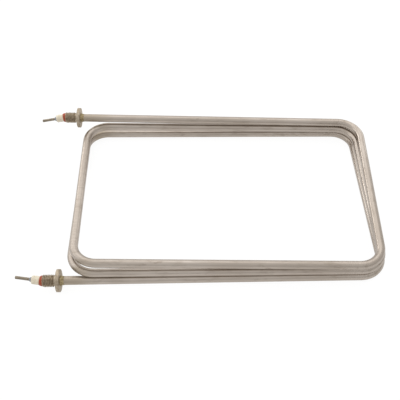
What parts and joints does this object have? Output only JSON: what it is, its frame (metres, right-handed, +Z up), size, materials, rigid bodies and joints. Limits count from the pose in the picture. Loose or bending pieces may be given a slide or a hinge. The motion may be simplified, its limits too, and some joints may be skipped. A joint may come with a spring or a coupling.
{
  "type": "tubular heating element",
  "caption": "Steel heating tube bent into stacked rectangular turns, with threaded bushes, collars, ceramic beads and contact pins at its ends.",
  "frame": {"origin": "on the ground under the middle of the whole element", "axes": "+Z up through the stacked turns, +X along the long side away from the threaded ends, +Y to the back, from the low end to the high end"},
  "size_m": [0.3612, 0.2234, 0.0434],
  "materials": {
    "sheath_steel": "drawn tube, satin, slightly mottled",
    "bush_steel": "turned, dull grey-brown",
    "pin_steel": "drawn wire, dull",
    "braze": "flowed braze, satin",
    "silicone": "orange-red, satin",
    "ceramic": "cream-white, satin",
    "potting": "blue-grey, glossy",
    "magnesia": "pressed powder, dull",
    "helix": "resistance wire, dull"
  },
  "bodies": {
    "root": {"braze_ring_back": "braze", "braze_ring_front": "braze", "ceramic_bead_back": "ceramic", "ceramic_bead_front": "ceramic", "cold_pin_back": "pin_steel", "cold_pin_front": "pin_steel", "magnesia_core": "magnesia", "magnesia_heart": "magnesia", "potting_bead_back": "potting", "potting_bead_front": "potting", "resistance_coil": "helix", "sheath_tube": "sheath_steel", "silicone_seal_back": "silicone", "silicone_seal_front": "silicone", "threaded_bush_back": "bush_steel", "threaded_bush_front": "bush_steel"}
  },
  "joints": []
}
